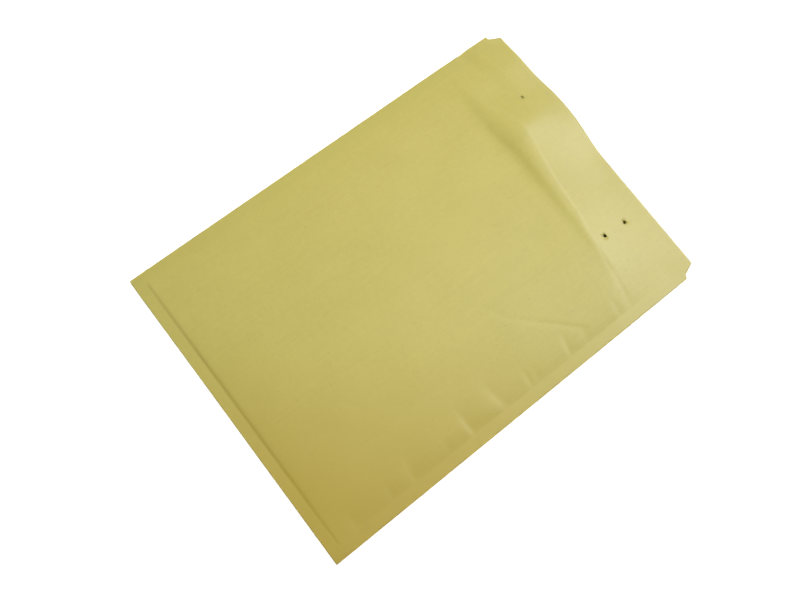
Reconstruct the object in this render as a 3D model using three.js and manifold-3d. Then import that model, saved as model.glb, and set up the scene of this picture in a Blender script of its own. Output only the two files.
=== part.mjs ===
// A padded postal envelope, lying address side up with its closing flap folded underneath.
// Millimetres, +Z up, resting on z = 0. The welded bottom edge is at -Y and the fold at +Y.
import * as THREE from "three";
import { mergeVertices } from "three/addons/utils/BufferGeometryUtils.js";
import Module from "manifold-3d";

// Sizes of the envelope
const halfWidth = 125;
const bottomY = -176;
const seamWidth = 10;
const paper = 0.15;
const film = 3.35;
const pressedFilm = 0.15;
const layerGap = 0.05;

// Heights of the lying envelope
const seamTop = 4.2;
const seamStack = 0.8;
const headerStack = 2 * paper + layerGap;
const crownTop = 10.8;
const ridgeLift = 0.9;
const backOverFlap = 0.6;

// The end of the padding, the mouth, the fold and the flap's free edge
const paddingEndY = 120;
const mouthY = 161.5;
const foldOuterY = 176;
const flapEndY = 120;
const notchDepth = 3;
const notchLength = 1;
const foldHalfWidth = 118.25;
const flapEndHalfWidth = 113;
const flapCornerRadius = 12;

// The bend of the fold: tight at the corners, and sprung open where the header bulges
const tightBend = 1.5;
const bulgeBend = 2.5;
const bulgeX = -36;
const bulgeReachLeft = 80;
const bulgeReachRight = 42;
const bendSteps = 6;
const foldCentreY = foldOuterY - tightBend - bulgeBend - paper / 2;

// The glue band on the flap and the strip that covers it
const glue = { halfWidth: 106, y: 139, width: 11, thickness: 0.08 };
const liner = { halfWidth: 109, y: 139, width: 14.5, thickness: 0.08 };
const stripGap = 0.03;

// Punched holes of the header
const holeRadius = 1.3;
const holeSides = 12;
const holeColumns = [-67.3, 60.7];
const holeRows = [128.4, 149.6];

const wasm = await Module();
wasm.setup();

const { clamp, lerp, smoothstep } = THREE.MathUtils;

// How far the padding has swelled, 0 at a seam's inner edge and near 1 well inside.
function swell(distance) {
  const inside = Math.max(distance, 0);
  return 1 - 0.5 * Math.exp(-inside / 5) - 0.5 * Math.exp(-inside / 35);
}

function swellAt(x, y) {
  const fromSide = halfWidth - seamWidth - Math.abs(x);
  const fromBottom = y - bottomY - seamWidth;
  return swell(fromSide) * swell(fromBottom);
}

function bulgeAt(x) {
  const reach = x < bulgeX ? bulgeReachLeft : bulgeReachRight;
  return 1 - smoothstep(Math.abs(x - bulgeX), 0, reach);
}

function bendRadiusAt(x) {
  return tightBend + bulgeBend * bulgeAt(x);
}

// The upper face of the front panel.
function frontTop(x, y) {
  const ridge = ridgeLift * Math.exp(-(((y - paddingEndY - 2) / 5) ** 2));
  const padded = seamTop + (crownTop - seamTop) * swellAt(x, y) + ridge * swellAt(x, y);
  const folded = 2 * bendRadiusAt(x) + paper;
  const alongHeader = clamp((y - paddingEndY) / (foldCentreY - paddingEndY), 0, 1);
  return lerp(padded, folded, alongHeader);
}

// The lower face of the back panel: on the floor in the middle, up to the seams at the sides,
// and lifted a little where the flap lies under it.
function backBottom(x, y) {
  const swelled = swellAt(x, y);
  const settled = Math.min(1, (1 - (1 - swelled) ** 2) / 0.97);
  const stack = lerp(seamStack, headerStack, smoothstep(y, paddingEndY, paddingEndY + 10));
  const alongHeader = clamp((y - paddingEndY) / (foldCentreY - paddingEndY), 0, 1);
  const seamLevel = lerp(seamTop, 2 * tightBend + paper, alongHeader) - stack;
  const overFlap = backOverFlap * smoothstep(y, flapEndY - 15, flapEndY - 3);
  return lerp(seamLevel, overFlap, settled);
}

function filmAt(x, y) {
  return pressedFilm + (film - pressedFilm) * swellAt(x, y);
}

// Half the width of the front sheet: a small step in at the mouth, then a taper to the fold.
function frontHalfWidth(y) {
  if (y <= mouthY) {
    return halfWidth;
  }
  const stepped = halfWidth - notchDepth;
  const alongTaper = clamp((y - mouthY - notchLength) / (foldCentreY - mouthY - notchLength), 0, 1);
  return lerp(stepped, foldHalfWidth, alongTaper);
}

// Half the width of the flap, which tapers on and ends in rounded corners.
function flapHalfWidth(y) {
  const taper = lerp(flapEndHalfWidth, foldHalfWidth, (y - flapEndY) / (foldCentreY - flapEndY));
  const intoCorner = flapCornerRadius - Math.min(y - flapEndY, flapCornerRadius);
  const inset = flapCornerRadius - Math.sqrt(flapCornerRadius ** 2 - intoCorner ** 2);
  return taper - inset;
}

// A closed sheet on a grid of columns and rows. place gives the point of one face, where side is
// -1 on the lower face and 1 on the upper face, and share runs from -1 to 1 across the width.
function sheetGeometry(columns, rows, place) {
  const across = columns.length - 1;
  const along = rows.length - 1;
  const geometry = new THREE.BoxGeometry(1, 1, 1, across, along, 1);
  const position = geometry.getAttribute("position");
  for (let i = 0; i < position.count; i += 1) {
    const column = columns[Math.round((position.getX(i) + 0.5) * across)];
    const row = rows[Math.round((position.getY(i) + 0.5) * along)];
    const point = place(column / halfWidth, row, Math.sign(position.getZ(i)));
    position.setXYZ(i, point.x, point.y, point.z);
  }
  creaseAlike(geometry);
  return joined(geometry);
}

// Splits the lower face's squares along the same diagonal as the upper face's, so that
// neighbouring layers on one grid keep the same distance everywhere.
function creaseAlike(geometry) {
  const lowerFace = geometry.groups[5];
  const index = geometry.index;
  for (let i = lowerFace.start; i < lowerFace.start + lowerFace.count; i += 6) {
    const first = index.getX(i);
    const opposite = index.getX(i + 4);
    index.setX(i + 2, opposite);
    index.setX(i + 3, first);
  }
}

// The geometry as one closed skin, without the doubled corners of its separate faces.
function joined(geometry) {
  geometry.deleteAttribute("normal");
  geometry.deleteAttribute("uv");
  return mergeVertices(geometry, 1e-4);
}

function toSolid(geometry) {
  return new wasm.Manifold(
    new wasm.Mesh({
      numProp: 3,
      vertProperties: new Float32Array(geometry.getAttribute("position").array),
      triVerts: new Uint32Array(geometry.index.array),
    }),
  );
}

function fromSolid(solid) {
  const mesh = solid.getMesh();
  const geometry = new THREE.BufferGeometry();
  geometry.setAttribute("position", new THREE.BufferAttribute(mesh.vertProperties, 3));
  geometry.setIndex(new THREE.BufferAttribute(mesh.triVerts, 1));
  geometry.computeVertexNormals();
  return geometry;
}

// The sheet with the header's holes punched straight through it.
function punched(geometry) {
  let solid = toSolid(geometry);
  for (const x of holeColumns) {
    for (const y of holeRows) {
      const punch = new THREE.CylinderGeometry(holeRadius, holeRadius, 60, holeSides);
      punch.rotateX(Math.PI / 2);
      punch.translate(x, y, 0);
      solid = solid.subtract(toSolid(joined(punch)));
    }
  }
  return fromSolid(solid);
}

function shown(geometry) {
  geometry.computeVertexNormals();
  return geometry;
}

function mirrored(stops) {
  const left = stops.map((stop) => -stop).reverse();
  return [...left, 0, ...stops];
}

const columns = mirrored([18, 36, 58, 78, 95, 106, 111, 115, halfWidth]);
const paddedRows = [
  bottomY, -166, -163, -158, -149, -131, -105, -70, -35, 0, 35, 65, 88, 103, 111, 116, paddingEndY,
];
const headerRows = [122, 125, 133, 143, 153, mouthY];
const flapRows = [161, 149, 137, 132, 128, 124.5, 122, 120.5, flapEndY];

// The front sheet's rows: up the panel, round the bend, and back under along the flap.
const frontRows = [
  ...[...paddedRows, ...headerRows, mouthY + notchLength].map((y) => ({ y, turn: 0 })),
  ...Array.from({ length: bendSteps + 1 }, (_, step) => ({
    y: foldCentreY,
    turn: (Math.PI * step) / bendSteps,
  })),
  ...flapRows.map((y) => ({ y, turn: Math.PI })),
];

function placeFront(share, row, side) {
  const offset = (side * paper) / 2;
  if (row.y < foldCentreY && row.turn === 0) {
    const x = share * frontHalfWidth(row.y);
    return new THREE.Vector3(x, row.y, frontTop(x, row.y) - paper / 2 + offset);
  }
  if (row.y < foldCentreY) {
    return new THREE.Vector3(share * flapHalfWidth(row.y), row.y, paper / 2 - offset);
  }
  const x = share * foldHalfWidth;
  const radius = bendRadiusAt(x);
  return new THREE.Vector3(
    x,
    foldCentreY + (radius + offset) * Math.sin(row.turn),
    radius + paper / 2 + (radius + offset) * Math.cos(row.turn),
  );
}

// A flat layer between two heights at each point of the grid.
function layer(rows, lowerFace, upperFace) {
  return sheetGeometry(columns, rows, (share, y, side) => {
    const x = share * halfWidth;
    return new THREE.Vector3(x, y, side > 0 ? upperFace(x, y) : lowerFace(x, y));
  });
}

const backTop = (x, y) => backBottom(x, y) + paper;
const backFilmBottom = (x, y) => backTop(x, y) + layerGap;
const backFilmTop = (x, y) => backFilmBottom(x, y) + filmAt(x, y);
const frontFilmTop = (x, y) => frontTop(x, y) - paper - layerGap;
const frontFilmBottom = (x, y) => frontFilmTop(x, y) - filmAt(x, y);

function strip(size, bottomZ) {
  const geometry = new THREE.BoxGeometry(2 * size.halfWidth, size.width, size.thickness);
  geometry.translate(0, size.y, bottomZ + size.thickness / 2);
  return geometry;
}

const kraft = new THREE.MeshStandardMaterial({ name: "kraft_paper", color: 0xc6bb6f, roughness: 0.8 });
const bubbleFilm = new THREE.MeshStandardMaterial({ name: "bubble_film", color: 0xe6ebea, roughness: 0.3 });
const glueLook = new THREE.MeshStandardMaterial({ name: "glue", color: 0xe9e2c4, roughness: 0.4 });
const linerLook = new THREE.MeshStandardMaterial({ name: "liner_paper", color: 0xf2f2ee, roughness: 0.5 });

const glueBottom = paper + stripGap;
const linerBottom = glueBottom + glue.thickness + stripGap;

const group = new THREE.Group();
group.name = "padded_envelope";

function addPiece(name, geometry, material) {
  const mesh = new THREE.Mesh(geometry, material);
  mesh.name = name;
  group.add(mesh);
}

addPiece("front_sheet", punched(sheetGeometry(columns, frontRows, placeFront)), kraft);
addPiece("back_sheet", punched(layer([...paddedRows, ...headerRows], backBottom, backTop)), kraft.clone());
addPiece("front_lining", shown(layer(paddedRows, frontFilmBottom, frontFilmTop)), bubbleFilm);
addPiece("back_lining", shown(layer(paddedRows, backFilmBottom, backFilmTop)), bubbleFilm.clone());
addPiece("adhesive_strip", strip(glue, glueBottom), glueLook);
addPiece("release_liner", strip(liner, linerBottom), linerLook);

export default group;
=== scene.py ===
from math import atan2, cos, exp, pi, radians, sin, sqrt

import bmesh
import bpy
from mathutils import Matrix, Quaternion, Vector, noise


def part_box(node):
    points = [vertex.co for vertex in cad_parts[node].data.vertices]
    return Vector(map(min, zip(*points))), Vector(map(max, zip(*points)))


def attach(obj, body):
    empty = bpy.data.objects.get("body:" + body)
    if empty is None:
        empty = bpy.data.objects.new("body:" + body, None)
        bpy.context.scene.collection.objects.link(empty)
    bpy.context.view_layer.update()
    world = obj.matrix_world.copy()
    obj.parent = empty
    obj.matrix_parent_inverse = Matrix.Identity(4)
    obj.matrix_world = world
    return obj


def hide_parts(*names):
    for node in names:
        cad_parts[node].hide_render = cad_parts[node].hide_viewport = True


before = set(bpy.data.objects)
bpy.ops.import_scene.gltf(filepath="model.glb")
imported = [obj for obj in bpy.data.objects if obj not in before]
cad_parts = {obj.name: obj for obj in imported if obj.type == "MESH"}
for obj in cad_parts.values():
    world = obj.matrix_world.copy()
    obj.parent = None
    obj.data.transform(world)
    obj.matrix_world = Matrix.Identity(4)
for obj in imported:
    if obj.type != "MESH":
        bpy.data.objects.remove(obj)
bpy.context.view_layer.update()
mm = 0.001


class Wire:
    # one socket of a material; sums, differences and products of wires add Math nodes
    def __init__(self, tree, socket=None):
        self.tree = tree
        self.socket = socket

    # any other node: its settings go in first, then the values and wires of its sockets
    def node(self, kind, inputs=None, output=0, **settings):
        made = self.tree.nodes.new("ShaderNode" + kind)
        for name, value in settings.items():
            setattr(made, name, value)
        for name, value in (inputs or {}).items():
            self.feed(self.pick(made.inputs, name), value)
        return Wire(self.tree, self.pick(made.outputs, output) if made.outputs else None)

    def pick(self, sockets, name):
        if isinstance(name, int):
            return sockets[name]
        return next(s for s in sockets if s.name == name and not s.is_unavailable)

    def feed(self, socket, value):
        if isinstance(value, Wire):
            self.tree.links.new(value.socket, socket)
        else:
            socket.default_value = value

    def maths(self, operation, first, second=0.0, clamped=False):
        return self.node("Math", {0: first, 1: second}, operation=operation, use_clamp=clamped)

    def __add__(self, other):
        return self.maths("ADD", self, other)

    def __radd__(self, other):
        return self.maths("ADD", other, self)

    def __sub__(self, other):
        return self.maths("SUBTRACT", self, other)

    def __rsub__(self, other):
        return self.maths("SUBTRACT", other, self)

    def __mul__(self, other):
        return self.maths("MULTIPLY", self, other)

    def __rmul__(self, other):
        return self.maths("MULTIPLY", other, self)

    def clamped(self):
        return self.maths("ADD", self, 0.0, clamped=True)

    def above(self, low, high):
        inputs = {"Value": self, "From Min": low, "From Max": high}
        return self.node("MapRange", inputs, output="Result", interpolation_type="SMOOTHSTEP")

    def mixed(self, share, first, second):
        inputs = {"Factor": share, "A": first, "B": second}
        return self.node("Mix", inputs, output="Result", data_type="RGBA")

    def speckle(self, place, scale, detail=2.0, roughness=0.5):
        inputs = {"Vector": place, "Scale": scale, "Detail": detail, "Roughness": roughness}
        return self.node("TexNoise", inputs, output="Fac")

    def stretched(self, place, scales, turn):
        inputs = {"Vector": place, "Scale": scales, "Rotation": (0.0, 0.0, turn)}
        return self.node("Mapping", inputs, output="Vector")


def newMaterial(name):
    material = bpy.data.materials.new(name)
    material.use_nodes = True
    material.node_tree.nodes.clear()
    return material, Wire(material.node_tree)


def finishMaterial(wire, surface):
    wire.node("OutputMaterial", {"Surface": surface})


kraft = {
    "dark": (0.500, 0.430, 0.093, 1.0),
    "light": (0.610, 0.535, 0.137, 1.0),
    # painted shade: the darker brown laid over the lower right corner, where the light falls off
    "paintedShade": (0.500, 0.345, 0.026, 1.0),
    "crease": (0.650, 0.585, 0.220, 1.0),
    "weld": (0.530, 0.458, 0.104, 1.0),
    # painted shade for the groove inside the bottom seam
    "pressed": (0.420, 0.345, 0.070, 1.0),
    "fleck": (0.280, 0.205, 0.050, 1.0),
    "roughness": 0.54,
    "gloss": 0.88,
    "cloudScale": 30.0,
    "flockScale": 240.0,
    "cloudShare": 0.5,             # how much each part of the mottling counts
    "flockShare": 0.45,
    "streakShare": 0.3,
    "fibreShare": 0.7,
    "fleckShare": 0.45,
    "weldShare": 0.45,
    "paintedShadeTowards": (4.0, -3.0),   # painted shade: the paper is darkened towards the lower right corner, where the light falls off
    "paintedShadeShare": 0.66,
    "bumpStrength": 0.35,
    "bumpDistance": 0.00006,
}


def makeKraft(name):
    material, wire = newMaterial(name)
    place = wire.node("TexCoord", output="Object")
    clouds = wire.speckle(place, kraft["cloudScale"], 3.0, 0.55)
    flocks = wire.speckle(place, kraft["flockScale"], 4.0, 0.6)
    streaks = wire.speckle(wire.stretched(place, (420.0, 7.0, 7.0), 0.0), 1.0, 2.0)
    warp = wire.stretched(place, (2600.0, 420.0, 900.0), 0.12)
    weft = wire.stretched(place, (520.0, 2400.0, 900.0), -0.35)
    fibres = (wire.speckle(warp, 1.0, 3.0, 0.6) + wire.speckle(weft, 1.0, 3.0, 0.6)) * 0.5
    tone = 0.5 + (clouds - 0.5) * kraft["cloudShare"] + (flocks - 0.5) * kraft["flockShare"]
    tone = tone + (streaks - 0.5) * kraft["streakShare"] + (fibres - 0.5) * kraft["fibreShare"]
    colour = wire.mixed(tone.clamped(), kraft["dark"], kraft["light"])
    flecks = wire.speckle(wire.stretched(place, (1500.0, 380.0, 700.0), 0.7), 1.0, 1.0)
    colour = wire.mixed(flecks.above(0.70, 0.78) * kraft["fleckShare"], colour, kraft["fleck"])
    welded = wire.node("Attribute", output="Fac", attribute_name="welded")
    creased = wire.node("Attribute", output="Fac", attribute_name="creased")
    pressed = wire.node("Attribute", output="Fac", attribute_name="pressed")
    colour = wire.mixed(welded * kraft["weldShare"], colour, kraft["weld"])
    colour = wire.mixed(creased * (0.25 + flocks * 0.3), colour, kraft["crease"])
    # painted shade: the colour darkens along the groove inside the bottom seam
    colour = wire.mixed(pressed * (0.4 + flocks * 0.3), colour, kraft["pressed"])
    across = wire.node("SeparateXYZ", {0: place}, output="X")
    along = wire.node("SeparateXYZ", {0: place}, output="Y")
    # painted shade: the colour darkens towards the lower right corner, where the light falls off
    corner = across * kraft["paintedShadeTowards"][0] + along * kraft["paintedShadeTowards"][1]
    colour = wire.mixed(corner.above(0.1, 1.0) * kraft["paintedShadeShare"], colour, kraft["paintedShade"])
    rough = kraft["roughness"] + (flocks - 0.5) * 0.16 + (fibres - 0.5) * 0.12
    rough = rough - welded * 0.04
    height = fibres * 0.6 + flocks * 0.5 + streaks * 0.15
    bumps = {"Strength": kraft["bumpStrength"], "Distance": kraft["bumpDistance"]}
    normal = wire.node("Bump", {**bumps, "Height": height}, output="Normal")
    inputs = {"Base Color": colour, "Roughness": rough, "Normal": normal}
    surface = wire.node("BsdfPrincipled", {**inputs, "Specular IOR Level": kraft["gloss"]})
    finishMaterial(wire, surface)
    return material


film = {
    "dark": (0.74, 0.79, 0.80, 1.0),
    "light": (0.90, 0.93, 0.93, 1.0),
    "roughness": 0.16,
    "alpha": 0.42,
}


def makeFilm(name):
    material, wire = newMaterial(name)
    place = wire.node("TexCoord", output="Object")
    haze = wire.speckle(place, 160.0, 3.0)
    drawLines = wire.speckle(wire.stretched(place, (900.0, 10.0, 60.0), 0.0), 1.0, 2.0)
    colour = wire.mixed(haze, film["dark"], film["light"])
    rough = film["roughness"] + haze * 0.12 + drawLines * 0.06
    bumps = {"Strength": 0.2, "Distance": 0.00005, "Height": drawLines + haze}
    normal = wire.node("Bump", bumps, output="Normal")
    alpha = film["alpha"] + haze * 0.16
    inputs = {"Base Color": colour, "Roughness": rough, "Normal": normal, "Alpha": alpha}
    finishMaterial(wire, wire.node("BsdfPrincipled", {**inputs, "IOR": 1.5}))
    return material


glue = {
    "dark": (0.72, 0.66, 0.44, 1.0),
    "light": (0.86, 0.82, 0.64, 1.0),
    "roughness": 0.22,
}


def makeGlue(name):
    material, wire = newMaterial(name)
    place = wire.node("TexCoord", output="Object")
    ripples = wire.speckle(wire.stretched(place, (90.0, 900.0, 300.0), 0.0), 1.0, 3.0)
    spots = wire.speckle(place, 700.0, 2.0)
    colour = wire.mixed(spots, glue["dark"], glue["light"])
    rough = glue["roughness"] + ripples * 0.2
    bumps = {"Strength": 0.5, "Distance": 0.00008, "Height": ripples + spots * 0.3}
    normal = wire.node("Bump", bumps, output="Normal")
    inputs = {"Base Color": colour, "Roughness": rough, "Normal": normal}
    finishMaterial(wire, wire.node("BsdfPrincipled", inputs))
    return material


linerPaper = {
    "dark": (0.80, 0.80, 0.76, 1.0),
    "light": (0.90, 0.90, 0.87, 1.0),
    "roughness": 0.34,
}


def makeLinerPaper(name):
    material, wire = newMaterial(name)
    place = wire.node("TexCoord", output="Object")
    clouds = wire.speckle(place, 120.0, 3.0)
    grain = wire.speckle(wire.stretched(place, (500.0, 1900.0, 900.0), 0.2), 1.0, 3.0)
    colour = wire.mixed(clouds, linerPaper["dark"], linerPaper["light"])
    rough = linerPaper["roughness"] + grain * 0.14
    bumps = {"Strength": 0.25, "Distance": 0.00004, "Height": grain}
    normal = wire.node("Bump", bumps, output="Normal")
    inputs = {"Base Color": colour, "Roughness": rough, "Normal": normal}
    finishMaterial(wire, wire.node("BsdfPrincipled", inputs))
    return material


# the lie of the envelope is worked out in millimetres
def cadBox(node):
    low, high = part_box(node)
    return Vector(low) / mm, Vector(high) / mm


frontBox = cadBox("front_sheet")
backBox = cadBox("back_sheet")
liningBox = cadBox("front_lining")

outline = {
    "halfWidth": frontBox[1].x,
    "bottomY": frontBox[0].y,
    "foldY": frontBox[1].y,
    "mouthY": backBox[1].y,
    "paddingEndY": liningBox[1].y,
    "seamWidth": 10.0,
    "bottomSeam": 8.4,
    "notchDepth": 3.0,           # the step at each side where the mouth ends
    "notchLength": 0.9,
    "mouthToFold": 10.4,         # flat length of paper from the mouth to the fold
    "foldHalfWidth": 118.25,
    "flapEndY": liningBox[1].y,
    "flapLength": 52.0,
    "flapEndHalfWidth": 113.0,
    "flapCorner": 12.0,
    "paper": 0.13,               # thickness of the paper
}

swell = {
    "seamTop": 4.2,
    "seamStack": 0.8,                 # paper to paper through a seam
    "bareGap": 0.06,
    "stackRun": 10.0,
    "bottomDroop": 0.3,
    "leftLift": 1.1,
    "leftLiftReach": 90.0,
    "crown": 10.6,                    # top of the padded middle
    "topRise": 0.5,                   # the crown stands higher towards the top
    "topRiseOver": (20.0, 112.0),
    "middleRise": 0.8,                # and higher still near the top, but for its left end
    "middleRiseOver": (72.0, 114.0),
    "middleRiseAcross": (-60.0, -20.0),
    "rightRise": 0.9,                 # with one more rise at the right
    "rightRiseOver": (80.0, 116.0),
    "rightRiseX": 54.0,
    "rightRiseReach": 20.0,
    "sideHump": 0.30,                 # a hump beside the right seam
    "sideHumpY": -25.0,
    "sideHumpReach": 10.0,
    "sideHumpAcross": (68.0, 108.0),
    "sideHumpEnds": (110.0, 116.0),
    "calmReach": 14.0,                # the waves die out towards the seams
    "pressedLine": 0.04,              # the line that the welding bar leaves inside the bottom seam
    "pressedLineAt": 0.4,
    "pressedLineWidth": 0.9,
    "pressedLineEnds": (-4.0, 2.0),
    "pressedCorners": 1.6,
    "film": 3.35,
    "pressedFilm": 0.12,
    "overFlap": 0.6,                  # how far the back is held up where the flap lies under it
    "overFlapBefore": (15.0, 3.0),
    # share that rises at once, its reach, the reach of the rest
    "bottomEdge": (0.11, 2.2, 42.0),
    "leftEdge": (0.08, 9.0, 42.0),
    "rightEdge": (0.11, 4.0, 38.0),
    "backEdge": (0.55, 4.0, 26.0),
}

fold = {
    "tightRadius": 1.5,
    "peakRadius": 4.0,                # the bend is loosest where the header bulges
    "leftRadius": 3.3,
    "peakX": -36.0,
    "rightReach": 47.0,
    "leftOver": (-40.0, -70.0),
    "cornerOver": (-92.0, -119.0),
    "leftPull": 2.4,                  # the fold draws back at the left
    "leftPullOver": (-50.0, -88.0),
    "cornerReturn": 1.3,              # and comes forward again at the corner
    "cornerReturnOver": (-95.0, -118.0),
}
foldLineY = outline["foldY"] - fold["peakRadius"]

crest = {
    "restY": outline["paddingEndY"] - 2.0,
    "padEndY": outline["paddingEndY"] - 5.2,
    "leftPadEnd": 2.5,                # at the left the padding ends a little lower
    "leftPadEndOver": (-30.0, -50.0),
    "peakX": -42.0,
    "peakRise": 13.6,                 # how far the crest runs towards the fold at its peak
    "leftReach": 32.0,
    "leftPower": 2.3,
    "rightReach": 70.0,
    "rightPower": 1.1,
    "rightFall": 2.2,
    "rightFallOver": (32.0, 50.0),
    "endFall": 20.0,
    "endFallOver": (80.0, 112.0),
    "leastLength": 2.5,
    "steepX": -22.0,                  # where the paper climbs most steeply
    "steep": 0.50,
    "leastSteep": 0.14,
    "steepLeft": 64.0,
    "steepRight": 44.0,
    "steepPower": 1.2,
    "leftEnds": (-116.0, -88.0),
    "rightEnds": (50.0, 90.0),
    "leftReachTaper": (5.0, 2.2),
    "rightReachTaper": (3.8, 3.4),
    "leftToRight": (-45.0, -22.0),
    "softness": 0.14,
    "hollow": 0.60,                   # sag of the bare paper between the crest and the fold
    "hollowOver": (-60.0, -10.0),
}

# a low step in the header's left half
headerStep = {
    "height": 2.3,
    "middleY": 141.0,
    "fromX": -117.0,
    "lean": 0.14,
    "halfRun": 7.0,
    "fadeOver": (-48.0, -84.0),
}


def ease(start, end, value):
    t = min(max((value - start) / (end - start), 0.0), 1.0)
    return t * t * (3.0 - 2.0 * t)


def lerp(a, b, t):
    return a + (b - a) * t


def bell(value, width):
    return exp(-(value / width) ** 2)


def edgeRise(distance, edge):
    inside = max(distance, 0.0)
    crisp, crispReach, softReach = edge
    return 1.0 - crisp * exp(-inside / crispReach) - (1.0 - crisp) * exp(-inside / softReach)


def fromSide(x):
    return outline["halfWidth"] - outline["seamWidth"] - abs(x)


def sideRise(x):
    return edgeRise(fromSide(x), swell["rightEdge"] if x > 0.0 else swell["leftEdge"])


# the left seam leans outwards, and its inner edge stands a little higher
def seamTop(x):
    if x > 0.0:
        return swell["seamTop"]
    outwards = max(-fromSide(x), 0.0) / outline["seamWidth"]
    nearSide = 1.0 - ease(0.0, swell["leftLiftReach"], fromSide(x))
    return swell["seamTop"] + swell["leftLift"] * (1.0 - outwards) * nearSide


def fromBottom(y):
    return y - outline["bottomY"] - outline["bottomSeam"]


def foldRadius(x):
    if x > fold["peakX"]:
        tight = ease(0.0, fold["rightReach"], x - fold["peakX"])
        return lerp(fold["peakRadius"], fold["tightRadius"], tight)
    radius = lerp(fold["peakRadius"], fold["leftRadius"], ease(*fold["leftOver"], x))
    return lerp(radius, fold["tightRadius"], ease(*fold["cornerOver"], x))


def foldCentreY(x):
    back = fold["leftPull"] * ease(*fold["leftPullOver"], x)
    return foldLineY - back + fold["cornerReturn"] * ease(*fold["cornerReturnOver"], x)


def crestY(x):
    if x > crest["peakX"]:
        hump = exp(-((x - crest["peakX"]) / crest["rightReach"]) ** crest["rightPower"])
    else:
        hump = exp(-((crest["peakX"] - x) / crest["leftReach"]) ** crest["leftPower"])
    fall = crest["rightFall"] * ease(*crest["rightFallOver"], x)
    fall += crest["endFall"] * ease(*crest["endFallOver"], x)
    return crest["restY"] + crest["peakRise"] * hump - fall


# the padding's end lifts the paper: steeply up to where it stops, then more gently to the crest
def crestLift(x, y):
    if x > crest["steepX"]:
        share = exp(-((x - crest["steepX"]) / crest["steepRight"]) ** crest["steepPower"])
    else:
        share = bell(x - crest["steepX"], crest["steepLeft"])
    ends = ease(*crest["leftEnds"], x) * (1.0 - ease(*crest["rightEnds"], x))
    steep = (crest["leastSteep"] + crest["steep"] * share) * ends
    toRight = ease(*crest["leftToRight"], x)
    leftSide, rightSide = crest["leftReachTaper"], crest["rightReachTaper"]
    reach, taper = (lerp(a, b, toRight) for a, b in zip(leftSide, rightSide))
    padEndY = crest["padEndY"] - crest["leftPadEnd"] * ease(*crest["leftPadEndOver"], x)
    length = max(crestY(x) - padEndY, crest["leastLength"])
    past = y - crestY(x) + length
    if past < 0.0:
        return steep * reach * exp(past / reach)
    left = max(1.0 - past / length, 0.0)
    return steep * (reach + length / taper * (1.0 - left ** taper))


# each pucker runs in from a side seam: y at the seam, innermost x, depth, reach up and down, lean
puckers = [
    {"y": 111.0, "from": 100.0, "depth": 0.28, "up": 4.0, "down": 3.0, "lean": 0.10},
    {"y": 100.0, "from": 99.0, "depth": 0.40, "up": 4.5, "down": 2.4, "lean": 0.05},
    {"y": 67.0, "from": 105.0, "depth": 0.28, "up": 4.0, "down": 4.0, "lean": 0.10},
    {"y": 49.5, "from": 96.0, "depth": 0.50, "up": 5.0, "down": 2.2, "lean": 0.17},
    {"y": 18.5, "from": 98.0, "depth": 0.32, "up": 4.0, "down": 2.4, "lean": 0.05},
    {"y": 12.0, "from": 99.0, "depth": 0.44, "up": 3.0, "down": 2.4, "lean": 0.00},
    {"y": -13.0, "from": 86.0, "depth": 0.50, "up": 6.0, "down": 3.4, "lean": -0.20},
    {"y": -44.4, "from": 89.0, "depth": 0.74, "up": 13.0, "down": 2.2, "lean": -0.03},
    {"y": -66.0, "from": 104.0, "depth": 0.28, "up": 4.0, "down": 4.0, "lean": 0.10},
    {"y": -98.0, "from": 95.0, "depth": 0.60, "up": 9.0, "down": 3.0, "lean": 0.12},
    {"y": -118.0, "from": 103.0, "depth": 0.38, "up": 5.0, "down": 3.2, "lean": 0.10},
    {"y": -150.0, "from": 104.0, "depth": 0.38, "up": 6.0, "down": 3.5, "lean": 0.10},
    {"y": 84.0, "from": -103.0, "depth": 0.20, "up": 3.0, "down": 4.0, "lean": 0.12},
    {"y": 73.0, "from": -98.0, "depth": 0.24, "up": 5.0, "down": 3.0, "lean": 0.12},
    {"y": 38.0, "from": -104.0, "depth": 0.18, "up": 4.0, "down": 4.0, "lean": 0.12},
    {"y": -12.0, "from": -102.0, "depth": 0.18, "up": 5.0, "down": 4.0, "lean": 0.12},
    {"y": -61.0, "from": -103.0, "depth": 0.20, "up": 4.0, "down": 5.0, "lean": 0.12},
    {"y": -109.0, "from": -102.0, "depth": 0.18, "up": 5.0, "down": 4.0, "lean": 0.12},
]

# straight creases pressed into the paper: ends, depth, reach of the left and of the right wall
creases = [
    {"start": (50.0, 19.0), "end": (70.0, 31.5), "depth": 0.20, "left": 1.2, "right": 2.6},
    {"start": (62.0, 25.5), "end": (112.0, 78.5), "depth": 0.25, "left": 1.2, "right": 2.6},
    {"start": (56.0, 119.0), "end": (112.0, 112.5), "depth": 0.24, "left": 1.3, "right": 2.2},
    {"start": (9.0, -128.0), "end": (9.0, -164.0), "depth": 0.10, "left": 2.2, "right": 2.2},
    {"start": (10.0, -108.0), "end": (78.0, -107.0), "depth": 0.08, "left": 3.0, "right": 3.0},
    {"start": (-12.0, 36.0), "end": (30.0, 72.0), "depth": 0.06, "left": 1.6, "right": 3.0},
]
puckersFade = (140.0, 125.0)   # between these, up the sheet, puckers and creases die out


def puckerDepth(x, y):
    seamX = outline["halfWidth"] - outline["seamWidth"]
    total = 0.0
    for pucker in puckers:
        side = 1.0 if pucker["from"] > 0 else -1.0
        inner = abs(pucker["from"])
        out = x * side
        along = ease(inner - 4.0, seamX - 7.0, out) * (1.0 - ease(seamX - 4.0, seamX + 2.0, out))
        if along <= 0.0:
            continue
        offset = y - pucker["y"] - (seamX - out) * pucker["lean"]
        reach = pucker["up"] if offset > 0 else pucker["down"]
        total += pucker["depth"] * along * exp(-abs(offset / reach) ** 1.35)
    return total


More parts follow.
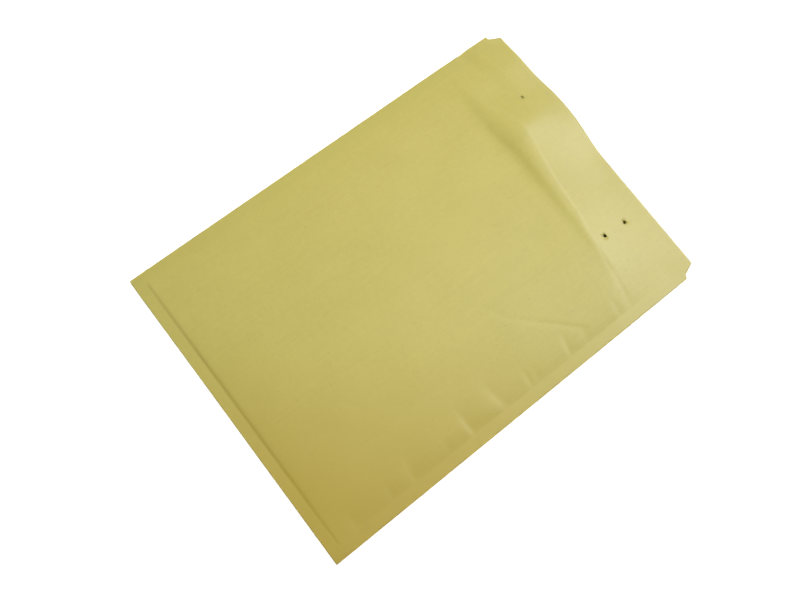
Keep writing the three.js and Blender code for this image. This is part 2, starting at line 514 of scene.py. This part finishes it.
def creaseDepth(x, y):
    total = 0.0
    for line in creases:
        start, end = Vector(line["start"]), Vector(line["end"])
        run = end - start
        t = (Vector((x, y)) - start).dot(run) / run.length_squared
        if not 0.0 < t < 1.0:
            continue
        off = (Vector((x, y)) - start).cross(run) / run.length
        fade = ease(0.0, 0.2, t) * (1.0 - ease(0.75, 1.0, t))
        wall = line["right"] if off > 0.0 else line["left"]
        total += line["depth"] * fade * bell(off, wall)
    return total


# soft dents in the bare header; reach is across and along
dents = [
    {"at": (27.0, 156.0), "depth": 0.35, "reach": (9.0, 7.0)},
    {"at": (113.0, 152.0), "depth": 0.25, "reach": (8.0, 7.0)},
    {"at": (64.0, 160.0), "depth": 0.12, "reach": (5.0, 6.0)},
    {"at": (61.9, 153.4), "depth": 0.40, "reach": (1.9, 2.1)},
]


def dentDepth(x, y):
    total = 0.0
    for dent in dents:
        (dentX, dentY), (reachX, reachY) = dent["at"], dent["reach"]
        total += dent["depth"] * bell(x - dentX, reachX) * bell(y - dentY, reachY)
    return total


def waviness(x, y, seed):
    slow = noise.noise(Vector((x / 42.0, y / 46.0, seed))) * 0.4
    quick = noise.noise(Vector((x / 15.0, y / 17.0, seed + 5.0))) * 0.11
    return slow + quick


def paddedTop(x, y):
    inX, inY = fromSide(x), fromBottom(y)
    rise = sideRise(x) * edgeRise(inY, swell["bottomEdge"])
    crown = swell["crown"] + swell["topRise"] * ease(*swell["topRiseOver"], y)
    middleRise = swell["middleRise"] * ease(*swell["middleRiseOver"], y)
    crown += middleRise * ease(*swell["middleRiseAcross"], x)
    rightRise = swell["rightRise"] * ease(*swell["rightRiseOver"], y)
    crown += rightRise * bell(x - swell["rightRiseX"], swell["rightRiseReach"])
    hump = swell["sideHump"] * bell(y - swell["sideHumpY"], swell["sideHumpReach"])
    hump *= ease(*swell["sideHumpAcross"], x)
    hump *= 1.0 - ease(*swell["sideHumpEnds"], x)
    calm = ease(0.0, swell["calmReach"], inX) * ease(0.0, swell["calmReach"], inY)
    pressed = swell["pressedLine"] * bell(inY - swell["pressedLineAt"], swell["pressedLineWidth"])
    pressed *= ease(*swell["pressedLineEnds"], inX)
    pressed *= 1.0 + swell["pressedCorners"] * bell(inX, swell["calmReach"])
    pressed += swell["bottomDroop"] * max(-inY, 0.0) / outline["bottomSeam"]
    level = seamTop(x) - pressed + (crown - seamTop(x)) * rise
    return level + hump + waviness(x, y, 2.0) * calm


# to the left of the header's soft fold the paper stands in a low step before it falls to the fold
def leftHeader(x, y, t):
    if t < 0.0:
        return 0.0
    middle = headerStep["middleY"] + (x - headerStep["fromX"]) * headerStep["lean"]
    stepped = ease(middle - headerStep["halfRun"], middle + headerStep["halfRun"], y)
    return headerStep["height"] * ease(*headerStep["fadeOver"], x) * (stepped - t)


# from the crest the bare paper falls to the fold; t runs from 0 at the crest to 1 at the fold
def frontTop(x, y):
    topY = crestY(x)
    padded = paddedTop(x, y) + crestLift(x, y)
    top = paddedTop(x, topY) + crestLift(x, topY)
    t = (y - topY) / (foldCentreY(x) - topY)
    calm = ease(0.0, 0.15, t) * (1.0 - ease(0.8, 1.0, t)) * ease(-2.0, 14.0, fromSide(x))
    sag = crest["hollow"] * ease(*crest["hollowOver"], x) * t * (1.0 - t)
    bare = lerp(top, 2.0 * foldRadius(x) + outline["paper"], t + sag)
    bare += (waviness(x, y, 2.0) - waviness(x, topY, 2.0) * (1.0 - t)) * calm - dentDepth(x, y)
    bare += leftHeader(x, y, t)
    lower = (padded + bare - sqrt((padded - bare) ** 2 + crest["softness"] ** 2)) / 2.0
    return lower - (puckerDepth(x, y) + creaseDepth(x, y)) * ease(*puckersFade, y)


def backBottom(x, y):
    rise = edgeRise(fromSide(x), swell["backEdge"]) * edgeRise(fromBottom(y), swell["backEdge"])
    settled = min(1.0, (1.0 - (1.0 - rise) ** 2) / 0.97)   # flat on the floor but for the edges
    endY, flapY = outline["paddingEndY"], outline["flapEndY"]
    bareStack = 2.0 * outline["paper"] + swell["bareGap"]
    stack = lerp(swell["seamStack"], bareStack, ease(endY, endY + swell["stackRun"], y))
    t = min(max((y - crestY(x)) / (foldCentreY(x) - crestY(x)), 0.0), 1.0)
    seamLevel = lerp(seamTop(x), 2.0 * foldRadius(x) + outline["paper"], t) - stack
    far, close = swell["overFlapBefore"]
    overFlap = swell["overFlap"] * ease(flapY - far, flapY - close, y)
    lowest = lerp(min(seamLevel, seamTop(x) - stack), overFlap, settled)
    return min(lowest, frontTop(x, y) - stack)


def frontHalfWidth(y):
    if y <= outline["mouthY"]:
        return outline["halfWidth"]
    notchY = outline["mouthY"] + outline["notchLength"]
    t = min(max((y - notchY) / (foldLineY - notchY), 0.0), 1.0)
    return lerp(outline["halfWidth"] - outline["notchDepth"], outline["foldHalfWidth"], t)


def flapHalfWidth(y):
    endY = outline["flapEndY"]
    t = (y - endY) / (foldLineY - endY)
    corner = outline["flapCorner"]
    into = corner - min(max(y - endY, 0.0), corner)
    inset = corner - sqrt(corner ** 2 - into ** 2)
    return lerp(outline["flapEndHalfWidth"], outline["foldHalfWidth"], t) - inset


def walk(start, end, stepAt):
    stops = [start]
    while stops[-1] < end:
        stops.append(stops[-1] + stepAt(stops[-1]))
    scale = (end - start) / (stops[-1] - start)
    return [start + (stop - start) * scale for stop in stops]


def columnStops(count, evenness):
    shares = [2.0 * i / count - 1.0 for i in range(count + 1)]
    return [evenness * u + (1.0 - evenness) * sin(u * pi / 2.0) for u in shares]


def sheetMesh(columns, rows, place):
    bm = bmesh.new()
    across, along = len(columns) - 1, len(rows) - 1
    bmesh.ops.create_grid(bm, x_segments=across, y_segments=along, size=0.5)
    for vert in bm.verts:
        column = columns[round((vert.co.x + 0.5) * across)]
        row = rows[round((vert.co.y + 0.5) * along)]
        vert.co = place(column, row) * mm
    return bm


def punchHole(bm, hole, layer):
    centre = Vector(hole["at"]) * mm

    def fromCentre(vert):
        return (vert.co.xy - centre).length

    near = min((v for v in bm.verts if layer(v)), key=fromCentre)
    bmesh.ops.delete(bm, geom=[near], context="VERTS")

    def onRim(vert):
        return fromCentre(vert) < 4.0 * mm and layer(vert)

    def rimEdges():
        return [e for e in bm.edges if e.is_boundary and all(onRim(v) for v in e.verts)]

    bmesh.ops.subdivide_edges(bm, edges=rimEdges(), cuts=1)
    turn = radians(hole.get("turn", 0.0))
    wide, tall = hole["size"]
    for vert in {v for edge in rimEdges() for v in edge.verts}:
        angle = atan2(vert.co.y - centre.y, vert.co.x - centre.x) - turn
        ragged = 1.0 + hole.get("ragged", 0.06) * sin(angle * 3.0 + hole["at"][0])
        x, y = wide * cos(angle) * ragged * mm, tall * sin(angle) * ragged * mm
        vert.co.x = centre.x + x * cos(turn) - y * sin(turn)
        vert.co.y = centre.y + x * sin(turn) + y * cos(turn)
        vert.co.z += hole.get("burr", 0.0) * mm


def makePiece(name, bm, material, node, thickness, offset=-1.0):
    mesh = bpy.data.meshes.new(name)
    bm.to_mesh(mesh)
    bm.free()
    mesh.shade_smooth()
    mesh.materials.append(material)
    piece = bpy.data.objects.new(name, mesh)
    bpy.context.scene.collection.objects.link(piece)
    if thickness:
        solid = piece.modifiers.new("thickness", "SOLIDIFY")
        solid.thickness = thickness * mm
        solid.offset = offset
        solid.use_even_offset = False
        solid.use_rim = True
    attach(piece, "root")
    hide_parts(node)
    return piece


def paint(bm, name, valueAt):
    layer = bm.verts.layers.float.new(name)
    for vert in bm.verts:
        vert[layer] = valueAt(vert.co / mm)


# crease wear on the paper, and the width of the painted shade line in the bottom seam
wearAndShade = {
    "weldEdge": (1.5, -1.0),
    "pressedShadeWidth": 1.3,
    "onFold": 0.6,
    "foldWidth": 3.0,
    "onCrest": 0.35,
    "crestWidth": 1.6,
    "inCreases": 0.8,
    "mostInCreases": 0.2,
}


def weldedAt(p):
    edge = wearAndShade["weldEdge"]
    inSeam = max(ease(*edge, fromSide(p.x)), ease(*edge, fromBottom(p.y)))
    return inSeam * (1.0 - ease(outline["mouthY"] - 1.0, outline["mouthY"], p.y))


# painted shade: a dark line along the groove that the welding bar pressed into the bottom seam,
# where shade falls
def pressedShadeAt(p):
    return bell(fromBottom(p.y) - 1.0, wearAndShade["pressedShadeWidth"]) * ease(-3.0, 2.0, fromSide(p.x))


front = {
    "columns": 148,
    "evenness": 0.5,
    "panelStep": 1.34,
    "seamStep": 0.7,             # finer rows over the bottom seam
    "seamEndY": -161.0,
    "bendRows": 10,
    "flapStep": 2.4,
    "flapEndStep": 0.9,
    "holes": [
        {"at": (60.2, 128.6), "size": (1.35, 1.4), "burr": 0.05},
        {"at": (61.2, 150.2), "size": (1.3, 1.45), "burr": 0.08, "ragged": 0.1},
        {"at": (-65.4, 148.8), "size": (1.15, 0.6), "turn": 8.0, "burr": 0.1, "ragged": 0.15},
        {"at": (-68.6, 128.5), "size": (0.6, 0.12), "turn": -12.0, "burr": 0.16, "ragged": 0.1},
    ],
    "backHole": (1.25, 1.25),
}
print("settings ready")


def makeFrontSheet(material):
    columns = columnStops(front["columns"], front["evenness"])

    def panelStep(y):
        return front["seamStep"] if y < front["seamEndY"] else front["panelStep"]

    def flapStep(gone):
        return front["flapStep"] if gone < 40.0 else front["flapEndStep"]

    panel = walk(outline["bottomY"], outline["mouthY"], panelStep)
    header = walk(outline["mouthY"] + outline["notchLength"], foldLineY, panelStep)
    bends = [pi * i / front["bendRows"] for i in range(1, front["bendRows"])]
    flap = walk(0.0, foldLineY - outline["flapEndY"], flapStep)
    rows = [("panel", y) for y in panel + header]
    rows += [("bend", turn) for turn in bends]
    rows += [("flap", foldLineY - gone) for gone in flap]

    def place(column, row):
        kind, value = row
        if kind == "panel":
            x = column * frontHalfWidth(value)
            y = value
            if y > outline["mouthY"]:
                t = (y - outline["mouthY"]) / (foldLineY - outline["mouthY"])
                y = lerp(outline["mouthY"], foldCentreY(x), t)
            return Vector((x, y, frontTop(x, y)))
        if kind == "flap":
            x = column * flapHalfWidth(value)
            t = (value - outline["flapEndY"]) / (foldLineY - outline["flapEndY"])
            y = lerp(outline["flapEndY"], foldCentreY(x), t)
            return Vector((x, y, 0.0))
        x = column * outline["foldHalfWidth"]
        radius = foldRadius(x) + outline["paper"] / 2.0
        return Vector((x, foldCentreY(x) + radius * sin(value), radius + radius * cos(value)))

    bm = sheetMesh(columns, rows, place)
    for hole in front["holes"]:
        punchHole(bm, hole, lambda v: v.co.z > 1.2 * mm)
    for hole in front["holes"]:
        through = {"at": hole["at"], "size": front["backHole"]}
        punchHole(bm, through, lambda v: v.co.z < 0.5 * mm and abs(v.co.x) < 0.11)
    bmesh.ops.recalc_face_normals(bm, faces=bm.faces)
    if max(bm.faces, key=lambda f: f.calc_center_median().z).normal.z < 0:
        bmesh.ops.reverse_faces(bm, faces=bm.faces)

    def creasedAt(p):
        if p.z < 0.3:
            return 0.0
        onFold = bell(p.y - foldCentreY(p.x) - 2.0, wearAndShade["foldWidth"]) * wearAndShade["onFold"]
        onCrest = bell(p.y - crestY(p.x), wearAndShade["crestWidth"]) * wearAndShade["onCrest"]
        onCrest *= bell(p.x + 10.0, 90.0)
        inLine = min(creaseDepth(p.x, p.y) * wearAndShade["inCreases"], wearAndShade["mostInCreases"])
        return min(onFold + onCrest + inLine, 1.0)

    paint(bm, "creased", creasedAt)
    paint(bm, "welded", weldedAt)
    # the pressed layer is painted shade along the bottom seam's groove
    paint(bm, "pressed", pressedShadeAt)
    piece = makePiece("frontSheet", bm, material, "front_sheet", outline["paper"])
    flatLength = outline["mouthY"] - outline["bottomY"] + outline["mouthToFold"]
    flatLength += pi * fold["tightRadius"] + outline["flapLength"]
    print("front sheet", len(piece.data.polygons), "faces")


back = {
    "columns": 110,
    "evenness": 0.5,
    "step": 1.9,
}


def makeBackSheet(material):
    columns = columnStops(back["columns"], back["evenness"])
    rows = walk(outline["bottomY"], outline["mouthY"], lambda y: back["step"])

    def place(column, y):
        x = column * outline["halfWidth"]
        return Vector((x, y, max(backBottom(x, y), 0.0)))

    bm = sheetMesh(columns, rows, place)
    for hole in front["holes"]:
        punchHole(bm, {"at": hole["at"], "size": front["backHole"]}, lambda v: True)
    bmesh.ops.recalc_face_normals(bm, faces=bm.faces)
    if sum(face.normal.z for face in bm.faces) < 0:
        bmesh.ops.reverse_faces(bm, faces=bm.faces)
    paint(bm, "creased", lambda p: 0.25 * bell(fromBottom(p.y), 1.2))
    paint(bm, "welded", weldedAt)
    # the pressed layer is painted shade along the bottom seam's groove
    paint(bm, "pressed", pressedShadeAt)
    piece = makePiece("backSheet", bm, material, "back_sheet", outline["paper"], 1.0)
    print("back sheet", len(piece.data.polygons), "faces")


bubbles = {
    "pitch": 11.4,
    "rowShare": 0.866,           # pitch of the rows, as a share of the pitch along them
    "radius": 4.9,
    "fromSeam": (3.0, 4.0),      # from the seams to the first bubbles' middles
    "skin": 0.08,
    "clearOfPaper": 0.15,
    "tipClear": 0.04,
    "roundness": 0.45,           # lower is flatter on top
    "least": 0.9,                # where there is less room than this, the film is pressed flat
    "mostPucker": 0.2,
    "sides": 10,
    "rings": 6,
    "columns": 56,
    "evenness": 0.6,
}


def filmRoom(x, y):
    rise = sideRise(x) * edgeRise(fromBottom(y), swell["bottomEdge"])
    return swell["pressedFilm"] + (swell["film"] - swell["pressedFilm"]) * rise


def frontPaper(x, y):
    return frontTop(x, y) - outline["paper"]


def backPaper(x, y):
    return backBottom(x, y) + outline["paper"]


def bubbleMesh():
    dome = bmesh.new()
    sides, rings = bubbles["sides"], bubbles["rings"]
    bmesh.ops.create_uvsphere(dome, u_segments=sides, v_segments=rings, radius=1.0)
    cut = dome.verts[:] + dome.edges[:] + dome.faces[:]
    made = bmesh.ops.bisect_plane(dome, geom=cut, plane_co=(0, 0, 0), plane_no=(0, 0, -1),
                                  clear_outer=True)
    rim = [e for e in made["geom_cut"] if isinstance(e, bmesh.types.BMEdge)]
    bmesh.ops.contextual_create(dome, geom=rim)
    bmesh.ops.recalc_face_normals(dome, faces=dome.faces)
    mesh = bpy.data.meshes.new("bubble")
    dome.to_mesh(mesh)
    dome.free()
    return mesh


# the flat film faces the pocket, and the bubbles stand on it towards the paper
def makeLining(name, node, material, paperSide, up):
    def flatAt(x, y):
        return paperSide(x, y) - up * (bubbles["clearOfPaper"] + filmRoom(x, y))

    half, low, end = outline["halfWidth"], outline["bottomY"], outline["paddingEndY"]
    columns = columnStops(bubbles["columns"], bubbles["evenness"])
    rows = walk(low, end, lambda y: front["panelStep"])
    bm = sheetMesh(columns, rows, lambda c, y: Vector((c * half, y, flatAt(c * half, y))))
    bmesh.ops.solidify(bm, geom=bm.faces[:], thickness=bubbles["skin"] * mm * up)
    bmesh.ops.recalc_face_normals(bm, faces=bm.faces)

    bubble = bubbleMesh()
    pitch, radius = bubbles["pitch"], bubbles["radius"]
    seam, (asideX, asideY) = outline["seamWidth"], bubbles["fromSeam"]
    count = 0
    y, line = low + seam + asideY, 0
    while y < end - radius - 0.6:
        x = -half + seam + asideX + (pitch / 2.0 if line % 2 else 0.0)
        while x < half - seam - asideX:
            roomy = filmRoom(x, y) > bubbles["least"]
            if roomy and puckerDepth(x, y) < bubbles["mostPucker"]:
                before = len(bm.verts)
                bm.from_mesh(bubble)
                bm.verts.ensure_lookup_table()
                for vert in bm.verts[before:]:
                    px, py = x + vert.co.x * radius, y + vert.co.y * radius
                    bulge = max(vert.co.z, 0.0) ** bubbles["roundness"]
                    tall = (filmRoom(px, py) - bubbles["tipClear"]) * bulge
                    vert.co = Vector((px, py, flatAt(px, py) + up * tall)) * mm
                count += 1
            x += pitch
        y += pitch * bubbles["rowShare"]
        line += 1
    bmesh.ops.recalc_face_normals(bm, faces=bm.faces)
    bpy.data.meshes.remove(bubble)
    piece = makePiece(name, bm, material, node, 0.0)
    print(name, count, "bubbles,", len(piece.data.polygons), "faces")


strips = {
    "glue": {"node": "adhesive_strip", "slot": "glue", "ragged": 0.35, "wave": 0.012},
    "liner": {"node": "release_liner", "slot": "liner_paper", "ragged": 0.0, "wave": 0.03,
              "restsOn": ["adhesiveStrip"]},
}


def makeStrip(name, settings, material):
    low, high = cadBox(settings["node"])
    halfLength, halfHeight = (high.x - low.x) / 2.0, (high.y - low.y) / 2.0
    middleY = (high.y + low.y) / 2.0
    columns = [i / 60.0 - 1.0 for i in range(121)]
    rows = [i / 4.0 - 1.0 for i in range(9)]

    def place(u, v):
        nearEnd = max(halfLength * (abs(u) - 1.0) + 2.0, 0.0) / 2.0
        rounded = 1.0 - 0.18 * nearEnd ** 3   # the corners are a little rounded
        ragged = settings["ragged"] * noise.noise(Vector((u * 9.0, v, 3.0)))
        y = middleY + v * halfHeight * rounded * 0.97 + ragged * abs(v) ** 3 * 0.5
        wave = settings["wave"] * noise.noise(Vector((u * 6.0, v * 0.5, 8.0)))
        return Vector((u * halfLength, y, low.z + wave))

    bm = sheetMesh(columns, rows, place)
    bmesh.ops.recalc_face_normals(bm, faces=bm.faces)
    if sum(face.normal.z for face in bm.faces) < 0:
        bmesh.ops.reverse_faces(bm, faces=bm.faces)
    piece = makePiece(name, bm, material, settings["node"], high.z - low.z, 1.0)
    print(name, len(piece.data.polygons), "faces")


kraftFront = makeKraft("kraftPaperFront")
kraftBack = makeKraft("kraftPaperBack")
makeFrontSheet(kraftFront)
makeBackSheet(kraftBack)
filmFront = makeFilm("bubbleFilmFront")
makeLining("frontLining", "front_lining", filmFront, frontPaper, 1.0)
filmBack = makeFilm("bubbleFilmBack")
makeLining("backLining", "back_lining", filmBack, backPaper, -1.0)
makeStrip("adhesiveStrip", strips["glue"], makeGlue("hotMeltGlue"))
makeStrip("releaseLiner", strips["liner"], makeLinerPaper("releasePaper"))

stageSettings = {
    "floorSize": 6.0,
    "floorDrop": 0.00015,
    "floorDark": (0.93, 0.93, 0.93, 1.0),
    "floorLight": (0.95, 0.95, 0.95, 1.0),
    "floorGlow": 0.6,
    "worldStrength": 0.17,
}

# direction from the middle, distance, size in metres, watts, and what the lamp shows in: the
# paper's own colour, its sheen, or both
lamps = {
    "windowSheen": {
        "from": (0.25, 0.70, 0.67), "far": 2.5, "size": 1.1, "power": 41.5, "shows": "sheen",
    },
    "windowLight": {
        "from": (0.00, 0.75, 0.66), "far": 2.5, "size": 1.1, "power": 8.0, "shows": "both",
    },
    "softTop": {
        "from": (0.00, 0.05, 0.80), "far": 1.6, "size": 0.8, "power": 2.4, "shows": "both",
    },
    "overheadFill": {
        "from": (-0.05, 0.06, 0.75), "far": 0.78, "size": 0.4, "power": 3.72, "shows": "colour",
    },
    "leftFill": {
        "from": (-0.60, 0.30, 0.70), "far": 0.90, "size": 0.5, "power": 1.3, "shows": "colour",
    },
}


def makeFloor():
    bm = bmesh.new()
    bmesh.ops.create_grid(bm, x_segments=4, y_segments=4, size=stageSettings["floorSize"] / 2.0)
    bmesh.ops.translate(bm, verts=bm.verts, vec=(0.0, 0.0, -stageSettings["floorDrop"]))
    mesh = bpy.data.meshes.new("floor")
    bm.to_mesh(mesh)
    bm.free()
    material, wire = newMaterial("paleFloor")
    place = wire.node("TexCoord", output="Object")
    clouds = wire.speckle(place, 3.0, 2.0)
    colour = wire.mixed(clouds, stageSettings["floorDark"], stageSettings["floorLight"])
    inputs = {"Base Color": colour, "Roughness": 0.8 + clouds * 0.1}
    white = (1.0, 1.0, 1.0, 1.0)
    glow = {"Emission Color": white, "Emission Strength": stageSettings["floorGlow"]}
    finishMaterial(wire, wire.node("BsdfPrincipled", {**inputs, **glow}))
    mesh.materials.append(material)
    floor = bpy.data.objects.new("floor", mesh)
    bpy.context.scene.collection.objects.link(floor)


def aimAt(thing, place, target, roll=0.0):
    thing.location = place
    look = (Vector(target) - Vector(place)).to_track_quat("-Z", "Y")
    thing.rotation_mode = "QUATERNION"
    thing.rotation_quaternion = look @ Quaternion((0.0, 0.0, 1.0), roll)


def makeLamp(name, settings):
    light = bpy.data.lights.new(name, "AREA")
    light.shape = "SQUARE"
    light.size = settings["size"]
    light.energy = settings["power"]
    light.cycles.use_multiple_importance_sampling = False   # keeps sheen and colour apart
    lamp = bpy.data.objects.new(name, light)
    bpy.context.scene.collection.objects.link(lamp)
    lamp.visible_diffuse = settings["shows"] != "sheen"
    lamp.visible_glossy = settings["shows"] != "colour"
    aimAt(lamp, Vector(settings["from"]).normalized() * settings["far"], (0.0, 0.0, 0.0))


makeFloor()
for name, settings in lamps.items():
    makeLamp(name, settings)

world = bpy.data.worlds.new("softRoom")
bpy.context.scene.world = world
world.use_nodes = True
background = world.node_tree.nodes["Background"]
background.inputs["Color"].default_value = (1.0, 1.0, 1.0, 1.0)
background.inputs["Strength"].default_value = stageSettings["worldStrength"]

view = {
    "place": (0.0593, -0.1186, 0.5185),
    "target": (0.00446, -0.0272, 0.005),
    "roll": 21.62,
    "lens": 31.80,
}
camera = bpy.data.objects.new("camera", bpy.data.cameras.new("camera"))
bpy.context.scene.collection.objects.link(camera)
camera.data.lens = view["lens"]
camera.data.sensor_width = 36.0
aimAt(camera, view["place"], view["target"], radians(view["roll"]))
bpy.context.scene.camera = camera
bpy.context.scene.view_settings.view_transform = "Standard"
print("stage ready")
